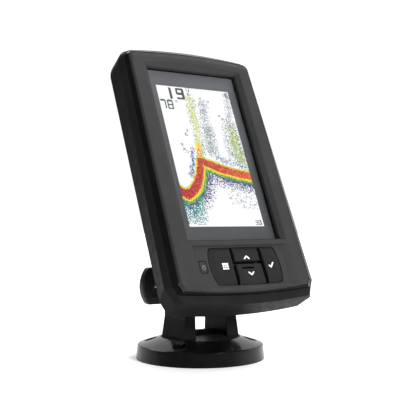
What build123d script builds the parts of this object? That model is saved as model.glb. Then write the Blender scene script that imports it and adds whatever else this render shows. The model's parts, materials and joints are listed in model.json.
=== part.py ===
"""Small portrait fish finder on a tilt and swivel pedestal.

World frame, millimetres: +Z up, +X to the user's right, the screen faces -Y.
The origin is the centre of the pedestal's underside, where it is screwed to the boat.
The head is drawn in its own frame: x to the right, y up the face, z out of the face towards
the user, with z = 0 on the picture plane of the screen. It is then tilted back and placed.
"""
from build123d import *
import math
import os

# ---------------------------------------------------------------- driving dimensions
TILT = 24.2                    # how far the head leans back at rest, degrees
SCREEN_Y, SCREEN_Z = -10.4, 124.2   # screen centre in the world frame


# the case is widest in the middle of its side and turns in to the back at its shoulder
RIM_HALF, SIDE_HALF, SHOULDER_HALF, RIM_TAPER = 47.7, 50.5, 49.7, 0.0218
RIM_Z, SIDE_Z, SHOULDER_Z = 3.0, -0.5, -12.5
RIM_TOP, RIM_TOP_SIDE = 71.4, 69.0     # top edge at the middle and at the corners
SIDE_TOP, SIDE_TOP_SIDE = 73.3, 70.8
SHOULDER_TOP, SHOULDER_TOP_SIDE = 74.2, 71.4
CREASE, CREASE_SIDE = -96.4, -93.6     # lower front edge of the chin, at the middle and the corners
BELOW, BELOW_SIDE = -96.8, -94.0
CHIN, CHIN_SIDE = -98.1, -95.4         # lower back edge of the chin
RIM_ROUND, SIDE_ROUND, SHOULDER_ROUND = 7.0, 10.5, 15.5     # top corners
RIM_CUT, SIDE_CUT, SHOULDER_CUT = (5.4, 9.2), (5.0, 11.0), (3.5, 8.6)   # bottom corners
BACK_DROP, BACK_INSET = 8.5, 10.0      # bevel from the side wall to the back
BACK_Z = SHOULDER_Z - BACK_DROP
WALL = 2.4

FACE_HALF, FACE_TAPER = 44.7, 0.0106   # raised face plate half width and taper
FACE_TOP, FACE_TOP_SIDE = 68.4, 66.4
FACE_BOTTOM, FACE_BOTTOM_SIDE = -90.0, -87.3
FACE_Z = 6.0                           # front of the face plate
FACE_FOOT = -0.7                       # back of the face plate
FACE_BEVEL, FACE_TOP_BEVEL = 0.9, 3.4  # narrow lip at the sides, wide bevel along the top

WINDOW_HALF, WINDOW_SILL = 36.0, -58.8
WINDOW_TOP, WINDOW_TOP_SIDE = 62.3, 59.4
SIGHT_HALF, SIGHT_TOP, SIGHT_SILL = 32.4, 57.4, -57.4   # clear opening in front of the lens
SIGHT_DEEP = 4.0                       # height at which the window's slope starts

LENS_HALF, LENS_TOP, LENS_SILL = 34.2, 59.2, -59.0
LENS_BACK, LENS_FRONT = 0.3, 1.8
GASKET = 0.3

KEY_TOP = 5.1                          # key tops, a little below the face
KEY_FOOT = 0.9                         # underside of the keys' stems
KEY_BEVEL, KEY_BEVEL_DROP = 3.4, 0.9   # wide bevel round the whole group of keys
KEY_GAP = 0.4                          # clearance between keys and bezel
POCKET_Z = 4.4                         # floor of the scooped pocket round the keys
BEZEL_BACK_AT_KEYS = 2.0
BOARD_TOP = -0.8                       # face of the key board

AXIS_Z = 45.5                          # tilt axis above the deck, over the swivel axis
LUG_HALF, LUG_R = 11.2, 9.5
CHEEK_IN, CHEEK_OUT, CHEEK_FOOT = 11.5, 18.6, 20.2
CHEEK_DEEP, CHEEK_R = 12.7, 11.5
STUD_R, STUD_CLEAR = 2.5, 0.05

BASE_R, BASE_SHOULDER_R, BASE_SHOULDER_Z = 39.8, 38.5, 8.8
FOOT_R, FOOT_TOP, WEB_TOP = 24.05, 13.3, 16.2
DECK_X, DECK_Y, DECK_R = 25.6, 17.0, 2.4     # deck screw holes, half spacings and radius
DECK_BORE_R, DECK_BORE_Z = 4.1, 5.0          # counterbore
HUB_R = 8.0

PLATE_SCREWS = [(sx * 38.0, y) for y in (57.0, -12.0, -77.0) for sx in (-1, 1)]
BRACKET_SCREWS = [(sx * 17.5, y) for y in (-42.0, -84.0) for sx in (-1, 1)]
SOCKET_X, SOCKET_Y = (-13.0, 13.0), 6.0
SOCKET_BARREL_R, SOCKET_FLANGE_R = 7.6, 9.8
PLUG_R, PLUG_DEEP = 5.6, 5.0                 # what a cable's plug enters
PIN_BORE_R, PIN_BORE_DEEP = 4.6, 5.0         # narrower well below it that holds the pins

HEAD = Plane(origin=(0, SCREEN_Y, SCREEN_Z), x_dir=(1, 0, 0),
             z_dir=(0, -math.cos(math.radians(TILT)), math.sin(math.radians(TILT))))
AXIS = HEAD.to_local_coords(Vector(0, 0, AXIS_Z))      # tilt axis in the head frame

NODES = {}


def put(name, shape, in_head=True):
    """Register one node, moving head parts from the head frame to the world frame."""
    NODES[name] = shape.moved(HEAD.location) if in_head else shape


# ---------------------------------------------------------------- small helpers
def cyl(r, z0, z1, x=0.0, y=0.0):
    return Pos(x, y, (z0 + z1) / 2) * Cylinder(r, abs(z1 - z0))


def block(x0, x1, y0, y1, z0, z1):
    return Pos((x0 + x1) / 2, (y0 + y1) / 2, (z0 + z1) / 2) * Box(abs(x1 - x0), abs(y1 - y0), abs(z1 - z0))


def rod_x(r, x0, x1, y, z):
    return Pos((x0 + x1) / 2, y, z) * Rot(0, 90, 0) * Cylinder(r, abs(x1 - x0))


def polygon(points, radius=0.0, z=0.0):
    face = make_face(Polyline(*[(x, y, z) for x, y in points], close=True))
    return fillet(face.vertices(), radius) if radius else face


def plate(points, z0, z1, radius=0.0):
    return extrude(polygon(points, radius, z0), amount=z1 - z0, dir=(0, 0, 1))


def loop_wire(corners, height):
    """Closed wire through a symmetrical outline. corners lists lines and arcs for the right half,
    each (x, y) or ((x, y), 'arc middle'), and height gives z at a given y."""
    def lift(p):
        return (p[0], p[1], height(p[1]))
    edges = []
    for segment in corners:
        points = [lift(p) for p in segment]
        edges.append(Line(*points) if len(points) == 2 else ThreePointArc(*points))
    return Wire(edges)


def outline(half, taper, top, top_side, bottom, bottom_side, round_top, cut, inset=0.0):
    """Segments of a head outline, clockwise from the top left. round_top is the size of the top
    corners, cut = (width, height) the size of the cut bottom corners."""
    def w(y):
        return half - taper * y - inset
    r = max(round_top - 0.6 * inset, 1.0)
    y_top = top_side - inset
    y_side = y_top - r
    x_top = w(y_side) - 0.9 * r
    mid = (x_top + 0.68 * (w(y_side) - x_top), y_side + 0.72 * r)
    y_cut = bottom_side + inset + cut[1] - 0.4 * inset
    x_cut = w(y_cut) - cut[0]
    y_low = bottom_side + inset
    tl, tr = (-x_top, y_top), (x_top, y_top)
    return [
        (tl, (0, top - inset), tr),
        (tr, mid, (w(y_side), y_side)),
        ((w(y_side), y_side), (w(y_cut), y_cut)),
        ((w(y_cut), y_cut), (x_cut, y_low)),
        ((x_cut, y_low), (0, bottom + inset), (-x_cut, y_low)),
        ((-x_cut, y_low), (-w(y_cut), y_cut)),
        ((-w(y_cut), y_cut), (-w(y_side), y_side)),
        ((-w(y_side), y_side), (-mid[0], mid[1]), tl),
    ]


def prism(segments, z0, z1):
    face = Face(loop_wire(segments, lambda y: z0))
    return extrude(face, amount=z1 - z0, dir=(0, 0, 1))


def loft_between(*wires):
    return Solid.make_loft(list(wires), ruled=True)


def flat(z):
    return lambda y: z


# ---------------------------------------------------------------- outlines of the head
def rim(inset=0.0):
    return outline(RIM_HALF, RIM_TAPER, RIM_TOP, RIM_TOP_SIDE, CREASE, CREASE_SIDE, RIM_ROUND,
                   RIM_CUT, inset)


def side_line():
    return outline(SIDE_HALF, RIM_TAPER, SIDE_TOP, SIDE_TOP_SIDE, BELOW, BELOW_SIDE, SIDE_ROUND,
                   SIDE_CUT)


def shoulder(inset=0.0):
    return outline(SHOULDER_HALF, 0.0, SHOULDER_TOP, SHOULDER_TOP_SIDE, CHIN, CHIN_SIDE,
                   SHOULDER_ROUND, SHOULDER_CUT, inset)


def face_edge(inset=0.0):
    return outline(FACE_HALF, FACE_TAPER, FACE_TOP, FACE_TOP_SIDE, FACE_BOTTOM, FACE_BOTTOM_SIDE, 4.0,
                   (2.1, 4.6), inset)


def above_chin(gap):
    """Region inside the rim and above the chin, whose lower edge follows the face."""
    wide = outline(FACE_HALF + 9.0, FACE_TAPER, FACE_TOP + 9.0, FACE_TOP_SIDE + 9.0,
                   FACE_BOTTOM - gap, FACE_BOTTOM_SIDE - gap, 5.0, (2.3, 4.8))
    return lambda inset, z0, z1: prism(rim(inset), z0, z1) & prism(wide, z0, z1)


# ---------------------------------------------------------------- rear housing
def housing_body():
    return loft_between(loop_wire(rim(), flat(RIM_Z)), loop_wire(side_line(), flat(SIDE_Z)),
                        loop_wire(shoulder(), flat(SHOULDER_Z)),
                        loop_wire(shoulder(BACK_INSET), flat(BACK_Z)))


# inside of the rear housing: height, half width, taper, top, bottom, top corner
CAVITY = [
    (2.0, 45.3, RIM_TAPER, 68.8, -88.4, 6.0),
    (-6.0, 45.5, 0.015, 68.8, -88.4, 9.0),
    (SHOULDER_Z + 1.0, 46.2, 0.0, 69.0, -94.0, 14.0),
    (BACK_Z + WALL, 38.8, 0.0, 61.8, -86.4, 10.0),
]


def housing_cavity():
    return loft_between(*[
        loop_wire(outline(half, taper, top, top - 2.6, bottom, bottom + 2.4, corner, (4.0, 8.0)), flat(z))
        for z, half, taper, top, bottom, corner in CAVITY])


SEAT_Z = BACK_Z - 1.2       # round pads that the sockets bolt to, square to the head
SEAT_THICK = 4.8


def make_rear_housing():
    shell = housing_body() - housing_cavity() - above_chin(0.85)(0.15, -3.8, RIM_Z + 1.0)
    for x, y in PLATE_SCREWS:
        boss = cyl(4.4, -6.2, BACK_Z + 1.0, x, y)
        shell = shell + boss - cyl(3.1, -11.6, BACK_Z - 3.0, x, y) - cyl(1.7, 0.0, -12.0, x, y)
    for x in SOCKET_X:
        shell = shell + cyl(SOCKET_FLANGE_R + 1.2, SEAT_Z, SEAT_Z + SEAT_THICK, x, SOCKET_Y)
    for x in SOCKET_X:
        shell = shell - cyl(SOCKET_BARREL_R + 0.15, -8.0, -40.0, x, SOCKET_Y)
    for x, y in BRACKET_SCREWS:
        shell = shell + cyl(3.4, BACK_Z + 0.5, BACK_Z + 5.5, x, y)
        shell = shell - cyl(1.25, BACK_Z - 2.0, BACK_Z + 4.6, x, y)
    return shell


# ---------------------------------------------------------------- front bezel
def window_cut():
    """Funnel through the face: steep at the lens, then sloped out to the face."""
    def opening(half, top, top_side, sill, z):
        edges = [Line((-half, sill, z), (half, sill, z)), Line((half, sill, z), (half, top_side, z)),
                 ThreePointArc((half, top_side, z), (0, top, z), (-half, top_side, z)),
                 Line((-half, top_side, z), (-half, sill, z))]
        return Wire(edges)
    inner = (SIGHT_HALF, SIGHT_TOP + 0.05, SIGHT_TOP, SIGHT_SILL, LENS_FRONT - 0.5)
    knee = (SIGHT_HALF + 0.6, SIGHT_TOP + 0.45, SIGHT_TOP + 0.4, SIGHT_SILL - 0.1, SIGHT_DEEP)
    mouth = (WINDOW_HALF, WINDOW_TOP, WINDOW_TOP_SIDE, WINDOW_SILL, FACE_Z)
    above = (WINDOW_HALF, WINDOW_TOP, WINDOW_TOP_SIDE, WINDOW_SILL, FACE_Z + 1.0)
    steep = loft_between(opening(*inner), opening(*knee))
    slope = loft_between(opening(*knee), opening(*mouth))
    return steep + slope + loft_between(opening(*mouth), opening(*above))


def group_edge(grow, z):
    """Outline of the whole key group: bulging left and right ends, slightly bowed bottom."""
    g = grow
    left, right = -20.8 - g, 24.9 + g
    top, low = -62.9 + g, -84.8 - g
    edges = [Line((left, top, z), (right, top, z)),
             ThreePointArc((right, top, z), (right + 2.0, (top + low) / 2, z), (right + 0.8, low, z)),
             ThreePointArc((right + 0.8, low, z), (2.0, low - 0.5, z), (left + 1.2, low, z)),
             ThreePointArc((left + 1.2, low, z), (left - 1.9, (top + low) / 2, z), (left, top, z))]
    face = make_face(Wire(edges))
    corners = face.vertices().sort_by(Axis.X)
    return fillet(corners, 2.6)


def power_edge(grow, z):
    g = grow
    return polygon([(-29.7 - g, -70.4 + g), (-25.2 + g, -70.4 + g), (-24.8 + g, -77.4 - g),
                    (-29.3 - g, -77.4 - g)], 1.3, z)


def scoop():
    """Shallow pocket round the keys, with a brow along its top and slow slopes at its ends."""
    def edge(x0, x1, top, low, z):
        return Wire([Line((x0, low, z), (x1, low, z)), Line((x1, low, z), (x1, top, z)),
                     Line((x1, top, z), (x0, top, z)), Line((x0, top, z), (x0, low, z))])
    return loft_between(edge(-30.6, 31.0, -62.0, -86.4, POCKET_Z),
                        edge(-32.6, 36.5, -61.4, -88.6, FACE_Z + 0.05))


def make_front_bezel():
    bevel_z = FACE_Z - 1.1
    lower = prism(face_edge(), FACE_FOOT, bevel_z)
    top_grow = outline(FACE_HALF, FACE_TAPER, FACE_TOP, FACE_TOP_SIDE, FACE_BOTTOM, FACE_BOTTOM_SIDE,
                       4.0, (2.1, 4.6))
    lip = outline(FACE_HALF - FACE_BEVEL, FACE_TAPER, FACE_TOP - FACE_TOP_BEVEL,
                  FACE_TOP_SIDE - FACE_TOP_BEVEL, FACE_BOTTOM + FACE_BEVEL,
                  FACE_BOTTOM_SIDE + FACE_BEVEL, 3.4, (2.0, 4.4))
    upper = loft_between(loop_wire(top_grow, flat(bevel_z)), loop_wire(lip, flat(FACE_Z)))
    flange = above_chin(0.6)(0.4, -2.6, FACE_FOOT)
    bezel = lower + upper + flange
    bezel = bezel - window_cut()
    # stepped room behind the face: lens seat, screen module, then the keypad
    bezel = bezel - plate([(-LENS_HALF - 0.15, LENS_SILL - 0.15), (LENS_HALF + 0.15, LENS_SILL - 0.15),
                           (LENS_HALF + 0.15, LENS_TOP + 0.15), (-LENS_HALF - 0.15, LENS_TOP + 0.15)],
                          -3.0, LENS_FRONT + GASKET, 2.0)
    bezel = bezel - prism(face_edge(2.4), -3.0, FACE_FOOT)
    bezel = bezel - scoop()
    bezel = bezel - extrude(group_edge(3.4, -3.0), amount=BEZEL_BACK_AT_KEYS + 3.0, dir=(0, 0, 1))
    bezel = bezel - extrude(group_edge(KEY_GAP, -3.0), amount=12.0, dir=(0, 0, 1))
    bezel = bezel - extrude(power_edge(0.3, -3.0), amount=12.0, dir=(0, 0, 1))
    bezel = bezel - block(-32.0, -23.4, -83.5, -64.0, -3.0, BEZEL_BACK_AT_KEYS)
    for x, y in PLATE_SCREWS:
        bezel = bezel + cyl(3.3, -6.1, 0.0, x, y) - cyl(1.35, -6.2, 2.6, x, y)
    return bezel


def make_trim_frame():
    """Polished ring that slopes from the face plate's wall down to the rim."""
    body = above_chin(0.7)(0.25, FACE_FOOT + 0.05, RIM_Z)
    slope = loft_between(loop_wire(rim(0.25), flat(RIM_Z)), loop_wire(face_edge(-0.5), flat(FACE_Z - 1.0)))
    ring = body + (slope & above_chin(0.7)(0.25, RIM_Z - 0.1, FACE_Z))
    return ring - prism(face_edge(-0.08), FACE_FOOT - 1.0, FACE_Z + 1.0)


# ---------------------------------------------------------------- keys
KEY_OUTLINES = {
    "menu_key": [(-40.0, -50.0), (-6.9, -50.0), (-6.9, -95.0), (-40.0, -95.0)],
    "up_key": [(-5.4, -50.0), (12.3, -50.0), (13.0, -71.2), (-5.2, -71.2)],
    "down_key": [(-5.2, -73.0), (13.1, -73.0), (14.0, -95.0), (-4.6, -95.0)],
    "check_key": [(14.1, -50.0), (40.0, -50.0), (40.0, -95.0), (16.1, -95.0)],
}
KEY_TABS = {
    "menu_key": [(-21.8, -19.0, -76.0, -71.0), (-15.0, -11.0, -63.5, -61.3), (-15.0, -11.0, -86.6, -84.0)],
    "up_key": [(1.0, 6.0, -63.5, -61.3)],
    "down_key": [(1.5, 6.5, -86.8, -84.0)],
    "check_key": [(19.0, 23.0, -63.5, -61.3), (19.5, 23.5, -86.7, -84.0)],
}
KEY_CENTRES = {"menu_key": (-12.7, -74.0), "up_key": (3.6, -67.0), "down_key": (4.1, -79.2),
               "check_key": (20.6, -74.0), "power_key": (-27.1, -73.8)}


def key_mound():
    """The whole key group's swell: a plateau with a wide bevel that falls to its ends and edges."""
    low, wide = KEY_TOP - KEY_BEVEL_DROP, -KEY_BEVEL
    return extrude(group_edge(0.0, 0.0), amount=low, dir=(0, 0, 1)) + loft_between(
        group_edge(0.0, low).face().outer_wire(), group_edge(wide, KEY_TOP).face().outer_wire())


def key_cap(name):
    """A key top with a chamfered rim, a stem over its dome, and tabs that keep it in the bezel."""
    def section(inset, z):
        area = group_edge(-inset, z)
        cut = polygon(KEY_OUTLINES[name], 0.0, z)
        return area & offset(cut, amount=-inset) if inset else area & cut
    body = extrude(section(0.0, 1.6), amount=KEY_TOP - 1.6, dir=(0, 0, 1))
    top = body.faces().sort_by(Axis.Z)[-1]
    body = chamfer(top.outer_wire().edges(), 0.55)
    x, y = KEY_CENTRES[name]
    dish = Pos(x, y, KEY_TOP + 39.65) * Sphere(40.0)
    body = (body - dish) & key_mound()
    body = body + cyl(2.6, KEY_FOOT, 2.0, x, y)
    for x0, x1, y0, y1 in KEY_TABS[name]:
        body = body + block(x0, x1, y0, y1, 0.9, 1.65)
    return body


def make_power_key():
    body = extrude(power_edge(0.0, 1.6), amount=POCKET_Z + 0.1 - 1.6, dir=(0, 0, 1))
    body = chamfer(body.faces().sort_by(Axis.Z)[-1].outer_wire().edges(), 0.3)
    x, y = KEY_CENTRES["power_key"]
    body = body + cyl(1.5, KEY_FOOT, 1.8, x, y)
    return body + block(-30.7, -24.6, -76.0, -72.0, 0.9, 1.65)


def make_keypad_seal():
    """Rubber frame under the bezel that seals round the key group."""
    ring = extrude(group_edge(3.2, 1.05), amount=0.85, dir=(0, 0, 1))
    ring = ring - extrude(group_edge(2.2, 0.0), amount=3.0, dir=(0, 0, 1))
    return ring - block(-31.4, -22.9, -84.0, -63.0, 0.0, 3.0)


def make_key_board():
    board = block(-31.0, 31.5, -85.6, -61.0, BOARD_TOP - 1.2, BOARD_TOP)
    return board - block(-5.0, 5.0, -63.0, -60.0, -3.0, 3.0)


def make_key_domes():
    domes = []
    for x, y in KEY_CENTRES.values():
        ball_r = 8.2
        cap = Pos(x, y, BOARD_TOP + 0.6 - ball_r) * Sphere(ball_r) & cyl(3.2, BOARD_TOP, 1.0, x, y)
        domes.append(cap)
    return Compound(children=domes)


# ---------------------------------------------------------------- window and screen module
def make_lens():
    return plate([(-LENS_HALF, LENS_SILL), (LENS_HALF, LENS_SILL), (LENS_HALF, LENS_TOP),
                  (-LENS_HALF, LENS_TOP)], LENS_BACK, LENS_FRONT, 1.8)


def make_lens_gasket():
    outer = plate([(-LENS_HALF, LENS_SILL), (LENS_HALF, LENS_SILL), (LENS_HALF, LENS_TOP),
                   (-LENS_HALF, LENS_TOP)], LENS_FRONT, LENS_FRONT + GASKET, 1.8)
    return outer - block(-SIGHT_HALF - 0.3, SIGHT_HALF + 0.3, SIGHT_SILL - 0.3, SIGHT_TOP + 0.3,
                         0.0, 5.0)


def make_lcd_panel():
    return block(-29.0, 29.0, -53.0, 50.0, -1.5, 0.0)


def make_lcd_backlight():
    return block(-29.0, 29.0, -53.0, 50.0, -4.2, -1.55)


def make_lcd_frame():
    tray = block(-29.7, 29.7, -53.7, 50.7, -4.7, -0.1) - block(-29.1, 29.1, -53.1, 50.1, -4.25, 1.0)
    tray = tray - block(-20.0, 20.0, -30.0, 35.0, -6.0, 0.0)
    return tray - block(-8.0, 8.0, -55.0, -52.0, -6.0, 1.0)


def make_lcd_flex():
    path = [(-53.0, -1.0), (-55.6, -1.0), (-55.6, -8.0), (-44.0, -8.0)]
    thick = 0.16
    outer = [(y, z) for y, z in path]
    inner = [(-44.0, -8.0 + thick), (-55.6 + thick, -8.0 + thick), (-55.6 + thick, -1.0 - thick),
             (-53.0, -1.0 - thick)]
    face = make_face(Polyline(*[(-6.5, y, z) for y, z in outer + inner], close=True))
    return extrude(face, amount=13.0, dir=(1, 0, 0))


# ---------------------------------------------------------------- electronics
BOARD_BACK, BOARD_FRONT = -9.8, -8.2


def make_main_board():
    board = plate([(-33.0, -46.0), (33.0, -46.0), (33.0, 52.0), (-33.0, 52.0)], BOARD_BACK,
                  BOARD_FRONT, 2.0)
    for x in (-30.0, 30.0):
        for y in (-43.0, 49.0):
            board = board - cyl(1.6, -12.0, -6.0, x, y)
    return board


def make_board_posts():
    posts = []
    for x in (-30.0, 30.0):
        for y in (-43.0, 49.0):
            posts.append(cyl(2.6, BOARD_FRONT, -4.9, x, y) + cyl(1.5, BOARD_BACK, -8.0, x, y))
    return Compound(children=posts)


def make_processor_shield():
    can = block(-14.0, 12.0, 18.0, 46.0, -12.6, BOARD_BACK)
    can = chamfer(can.edges().filter_by(Axis.Z), 1.0)
    for i in range(4):
        can = can - cyl(0.9, -13.0, -12.2, -7.0 + 4.0 * i, 40.0)
    return can


def make_transformer():
    core = block(-30.0, -17.0, 26.0, 39.0, -17.6, BOARD_BACK)
    window = block(-31.0, -16.0, 28.6, 36.4, -15.6, -11.8)
    coil = block(-29.0, -18.0, 28.7, 36.3, -15.5, -11.9)
    return (core - window) + block(-25.5, -21.5, 28.0, 37.0, -16.0, -11.0), coil - block(
        -25.6, -21.4, 28.0, 37.0, -16.5, -10.5)


def make_capacitors():
    cans = []
    for x, y in ((-28.6, 20.8), (-28.6, 11.4)):
        can = cyl(4.0, -16.2, BOARD_BACK, x, y)
        cans.append(fillet(can.edges().sort_by(Axis.Z)[:1], 0.5))
    return Compound(children=cans)


def make_inductor():
    body = block(17.0, 27.0, 28.0, 38.0, -14.2, BOARD_BACK)
    return chamfer(body.edges().filter_by(Axis.Z), 2.2)


def make_board_connectors():
    parts = []
    for x0, x1, y0, y1 in ((18.0, 30.0, 10.0, 15.0), (-30.0, -18.0, -14.0, -9.0),
                           (-9.0, 9.0, -43.5, -39.5)):
        shell = block(x0, x1, y0, y1, -13.2, BOARD_BACK)
        parts.append(shell - block(x0 + 0.8, x1 - 0.8, y0 + 0.8, y1 - 0.8, -14.0, -11.0))
    return Compound(children=parts)


def make_beeper():
    x, y = 22.0, -26.0
    body = cyl(6.0, -14.6, BOARD_BACK, x, y)
    return body - cyl(1.2, -15.0, -13.4, x, y)


def make_perimeter_gasket():
    return above_chin(0.4)(0.5, -3.75, -2.65) - above_chin(-1.6)(2.1, -5.0, 0.0)


def make_housing_screws():
    screws = []
    for x, y in PLATE_SCREWS:
        head = cyl(2.7, -13.7, -11.6, x, y)
        head = head - extrude(RegularPolygon(1.3, 6).moved(Location((x, y, -14.0))), amount=1.6,
                              dir=(0, 0, 1))
        screws.append(head + cyl(1.35, -11.6, -0.4, x, y))
    return Compound(children=screws)


# ---------------------------------------------------------------- sockets on the back
def make_socket(x):
    mouth = SEAT_Z - 5.0
    body = cyl(SOCKET_FLANGE_R, SEAT_Z - 3.0, SEAT_Z - 0.85, x, SOCKET_Y)
    body = body + cyl(SOCKET_BARREL_R, mouth, SEAT_Z + 8.0, x, SOCKET_Y)
    body = body - cyl(PLUG_R, mouth - 1.0, mouth + PLUG_DEEP, x, SOCKET_Y)
    body = body - cyl(PIN_BORE_R, mouth, mouth + PLUG_DEEP + PIN_BORE_DEEP, x, SOCKET_Y)
    for turn in (0, 120, 240):
        notch = Rot(0, 0, turn) * block(SOCKET_BARREL_R - 0.7, SOCKET_BARREL_R + 1.0, -1.2, 1.2,
                                        mouth - 1.0, mouth + 1.6)
        body = body - Pos(x, SOCKET_Y, 0) * notch
    return body


def make_socket_seal(x):
    return (cyl(SOCKET_FLANGE_R - 0.4, SEAT_Z - 0.84, SEAT_Z, x, SOCKET_Y)
            - cyl(SOCKET_BARREL_R + 0.05, SEAT_Z - 2.0, SEAT_Z + 1.0, x, SOCKET_Y))


def make_socket_nut(x):
    low = SEAT_Z + SEAT_THICK + 0.02
    nut = extrude(RegularPolygon(10.4, 6).moved(Location((x, SOCKET_Y, low))), amount=2.6, dir=(0, 0, 1))
    return nut - cyl(SOCKET_BARREL_R + 0.03, low - 1.0, low + 4.0, x, SOCKET_Y)


def make_socket_pins(x, count):
    floor = SEAT_Z - 5.0 + PLUG_DEEP + PIN_BORE_DEEP
    pins = []
    for i in range(count):
        turn = math.radians(360.0 * i / count + 45.0)
        px, py = x + 2.4 * math.cos(turn), SOCKET_Y + 2.4 * math.sin(turn)
        pins.append(cyl(0.6, floor - 4.2, floor, px, py))
    return Compound(children=pins)


# ---------------------------------------------------------------- tilt bracket on the back
def make_pivot_bracket():
    """Screwed-on neck with the pivot boss. Drawn as side profiles across the head."""
    ay, az = AXIS.Y, AXIS.Z
    root = [(-88.0, BACK_Z), (-38.0, BACK_Z)]

    def side(points, half):
        face = make_face(Polyline(*[(-half, y, z) for y, z in points], close=True))
        return extrude(face, amount=2 * half, dir=(1, 0, 0))
    base = side([root[0], root[1], (-38.0, root[1][1] - 3.0), (-88.0, root[0][1] - 3.0)], 22.0)
    base = fillet(base.edges().filter_by_position(Axis.X, -22.1, -21.9).sort_by(Axis.Y)[:1]
                  + base.edges().filter_by_position(Axis.X, 21.9, 22.1).sort_by(Axis.Y)[:1], 2.0)
    neck = side([(-86.0, root[0][1] - 1.0), (-46.0, root[1][1] - 1.0), (ay + LUG_R * 0.8, az + 4.0),
                 (ay + LUG_R * 0.96, az), (ay - LUG_R * 0.96, az), (ay - LUG_R * 0.8, az + 5.0)], LUG_HALF)
    bracket = base + neck + rod_x(LUG_R, -LUG_HALF, LUG_HALF, ay, az)
    bracket = bracket - rod_x(4.2, -LUG_HALF - 1, -3.0, ay, az) - rod_x(4.2, 3.0, LUG_HALF + 1, ay, az)
    for sx in (-1, 1):
        bracket = bracket - rod_x(7.6, sx * (LUG_HALF - 0.9), sx * (LUG_HALF + 1), ay, az)
    for x, y in BRACKET_SCREWS:
        bracket = bracket - cyl(1.8, -40.0, -5.0, x, y) - cyl(3.2, BACK_Z - 8.0, BACK_Z - 1.4, x, y)
    return bracket


def make_bracket_screws():
    screws = []
    for x, y in BRACKET_SCREWS:
        top = BACK_Z - 1.4
        head = cyl(2.8, top - 1.9, top, x, y)
        head = head - extrude(RegularPolygon(1.3, 6).moved(Location((x, y, top - 2.2))), amount=1.5,
                              dir=(0, 0, 1))
        screws.append(head + cyl(1.25, top, BACK_Z + 4.2, x, y))
    return Compound(children=screws)


def make_pivot_inserts():
    ay, az = AXIS.Y, AXIS.Z
    inserts = []
    for sx in (-1, 1):
        sleeve = rod_x(4.2, sx * 3.1, sx * (LUG_HALF - 1.0), ay, az)
        inserts.append(sleeve - rod_x(STUD_R + STUD_CLEAR, sx * 3.6, sx * LUG_HALF, ay, az))
    return Compound(children=inserts)


def make_friction_discs():
    ay, az = AXIS.Y, AXIS.Z
    discs = []
    for sx in (-1, 1):
        disc = rod_x(7.5, sx * (LUG_HALF - 0.88), sx * (LUG_HALF - 0.05), ay, az)
        discs.append(disc - rod_x(STUD_R + 0.4, sx * 5, sx * 13, ay, az))
    return Compound(children=discs)


# ---------------------------------------------------------------- tilt knobs (world frame)
KNOB_IN, KNOB_HUB_OUT, WING_OUT = 20.2, 27.0, 42.0
WING_R, WING_THICK = 11.0, 5.6


def make_knob(sx):
    """Wing knob: a ribbed hub and an upright D shaped paddle."""
    z0, z1 = AXIS_Z - WING_R, AXIS_Z + WING_R
    bulge = 4.0
    edges = [Line((sx * 22.5, 0, z0), (sx * (WING_OUT - bulge), 0, z0)),
             ThreePointArc((sx * (WING_OUT - bulge), 0, z0), (sx * WING_OUT, 0, AXIS_Z),
                           (sx * (WING_OUT - bulge), 0, z1)),
             Line((sx * (WING_OUT - bulge), 0, z1), (sx * 22.5, 0, z1)),
             Line((sx * 22.5, 0, z1), (sx * 22.5, 0, z0))]
    face = make_face(Wire(edges))
    face = fillet(face.vertices(), 2.6)
    wing = extrude(face, amount=WING_THICK / 2, dir=(0, 1, 0), both=True)
    wing = fillet(wing.edges().filter_by_position(Axis.Y, WING_THICK / 2 - 0.01, WING_THICK / 2 + 0.01)
                  + wing.edges().filter_by_position(Axis.Y, -WING_THICK / 2 - 0.01,
                                                    -WING_THICK / 2 + 0.01), 1.3)
    hub = rod_x(7.6, sx * KNOB_IN, sx * KNOB_HUB_OUT, 0, AXIS_Z)
    knob = hub + wing
    for side in (-1, 1):
        hollow = block(30.0, 37.5, side * 2.1, side * 4.0, AXIS_Z - 6.0, AXIS_Z + 6.0)
        hollow = fillet(hollow.edges().filter_by(Axis.Y), 2.4)
        knob = knob - (hollow if sx > 0 else mirror(hollow, Plane.YZ))
    return knob - rod_x(STUD_R, sx * 15.0, sx * 34.0, 0, AXIS_Z)


def make_stud(sx):
    return rod_x(STUD_R, sx * 4.4, sx * 33.9, 0, AXIS_Z)


def make_knob_washer(sx):
    ring = rod_x(7.2, sx * (CHEEK_OUT + 0.35), sx * (KNOB_IN - 0.02), 0, AXIS_Z)
    return ring - rod_x(STUD_R + 0.02, sx * 15.0, sx * 25.0, 0, AXIS_Z)


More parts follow.
